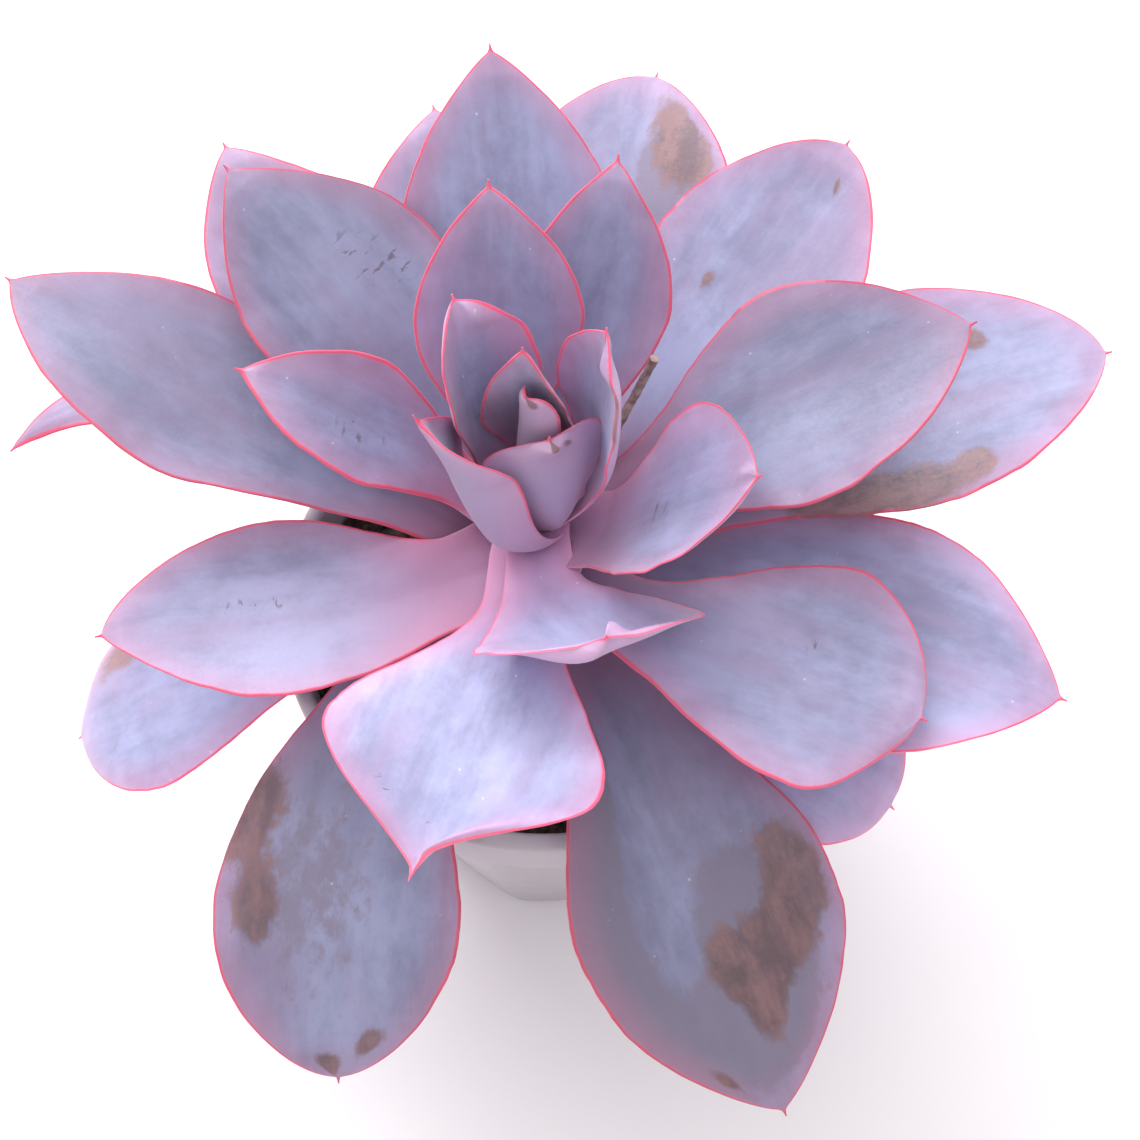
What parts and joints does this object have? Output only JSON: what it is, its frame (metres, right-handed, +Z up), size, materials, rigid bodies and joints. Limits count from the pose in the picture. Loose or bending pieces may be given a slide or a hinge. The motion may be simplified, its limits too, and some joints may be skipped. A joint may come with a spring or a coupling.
{
  "type": "potted succulent",
  "caption": "Rosette of fleshy pointed leaves on a short stem, rooted in soil in a small plastic pot with a round rim and a faceted, tapered body.",
  "frame": {"origin": "centre of the pot's underside", "axes": "+Z up along the pot's axis and the stem; -Y towards the side of the pot that the picture shows"},
  "size_m": [0.1775, 0.1636, 0.1381],
  "materials": {
    "pot": "satin white",
    "soil": "loose, dark potting mix with bark and perlite",
    "stem": "rough, brown",
    "dry_stalk": "dry and matte",
    "leaf": "matte waxy bloom, pink at the margins"
  },
  "bodies": {
    "root": {"pot": "pot", "soil": "soil", "stem": "stem", "flower_stalk": "dry_stalk", "leaf_01": "leaf", "leaf_02": "leaf", "leaf_03": "leaf", "leaf_04": "leaf", "leaf_05": "leaf", "leaf_06": "leaf", "leaf_07": "leaf", "leaf_08": "leaf", "leaf_09": "leaf", "leaf_10": "leaf", "leaf_11": "leaf", "leaf_12": "leaf", "leaf_13": "leaf", "leaf_14": "leaf", "leaf_15": "leaf", "leaf_16": "leaf", "leaf_17": "leaf", "leaf_18": "leaf", "leaf_19": "leaf", "leaf_20": "leaf", "leaf_21": "leaf", "leaf_22": "leaf", "leaf_23": "leaf", "leaf_24": "leaf", "leaf_25": "leaf", "leaf_26": "leaf", "leaf_27": "leaf", "leaf_28": "leaf", "leaf_29": "leaf", "leaf_30": "leaf"}
  },
  "joints": []
}
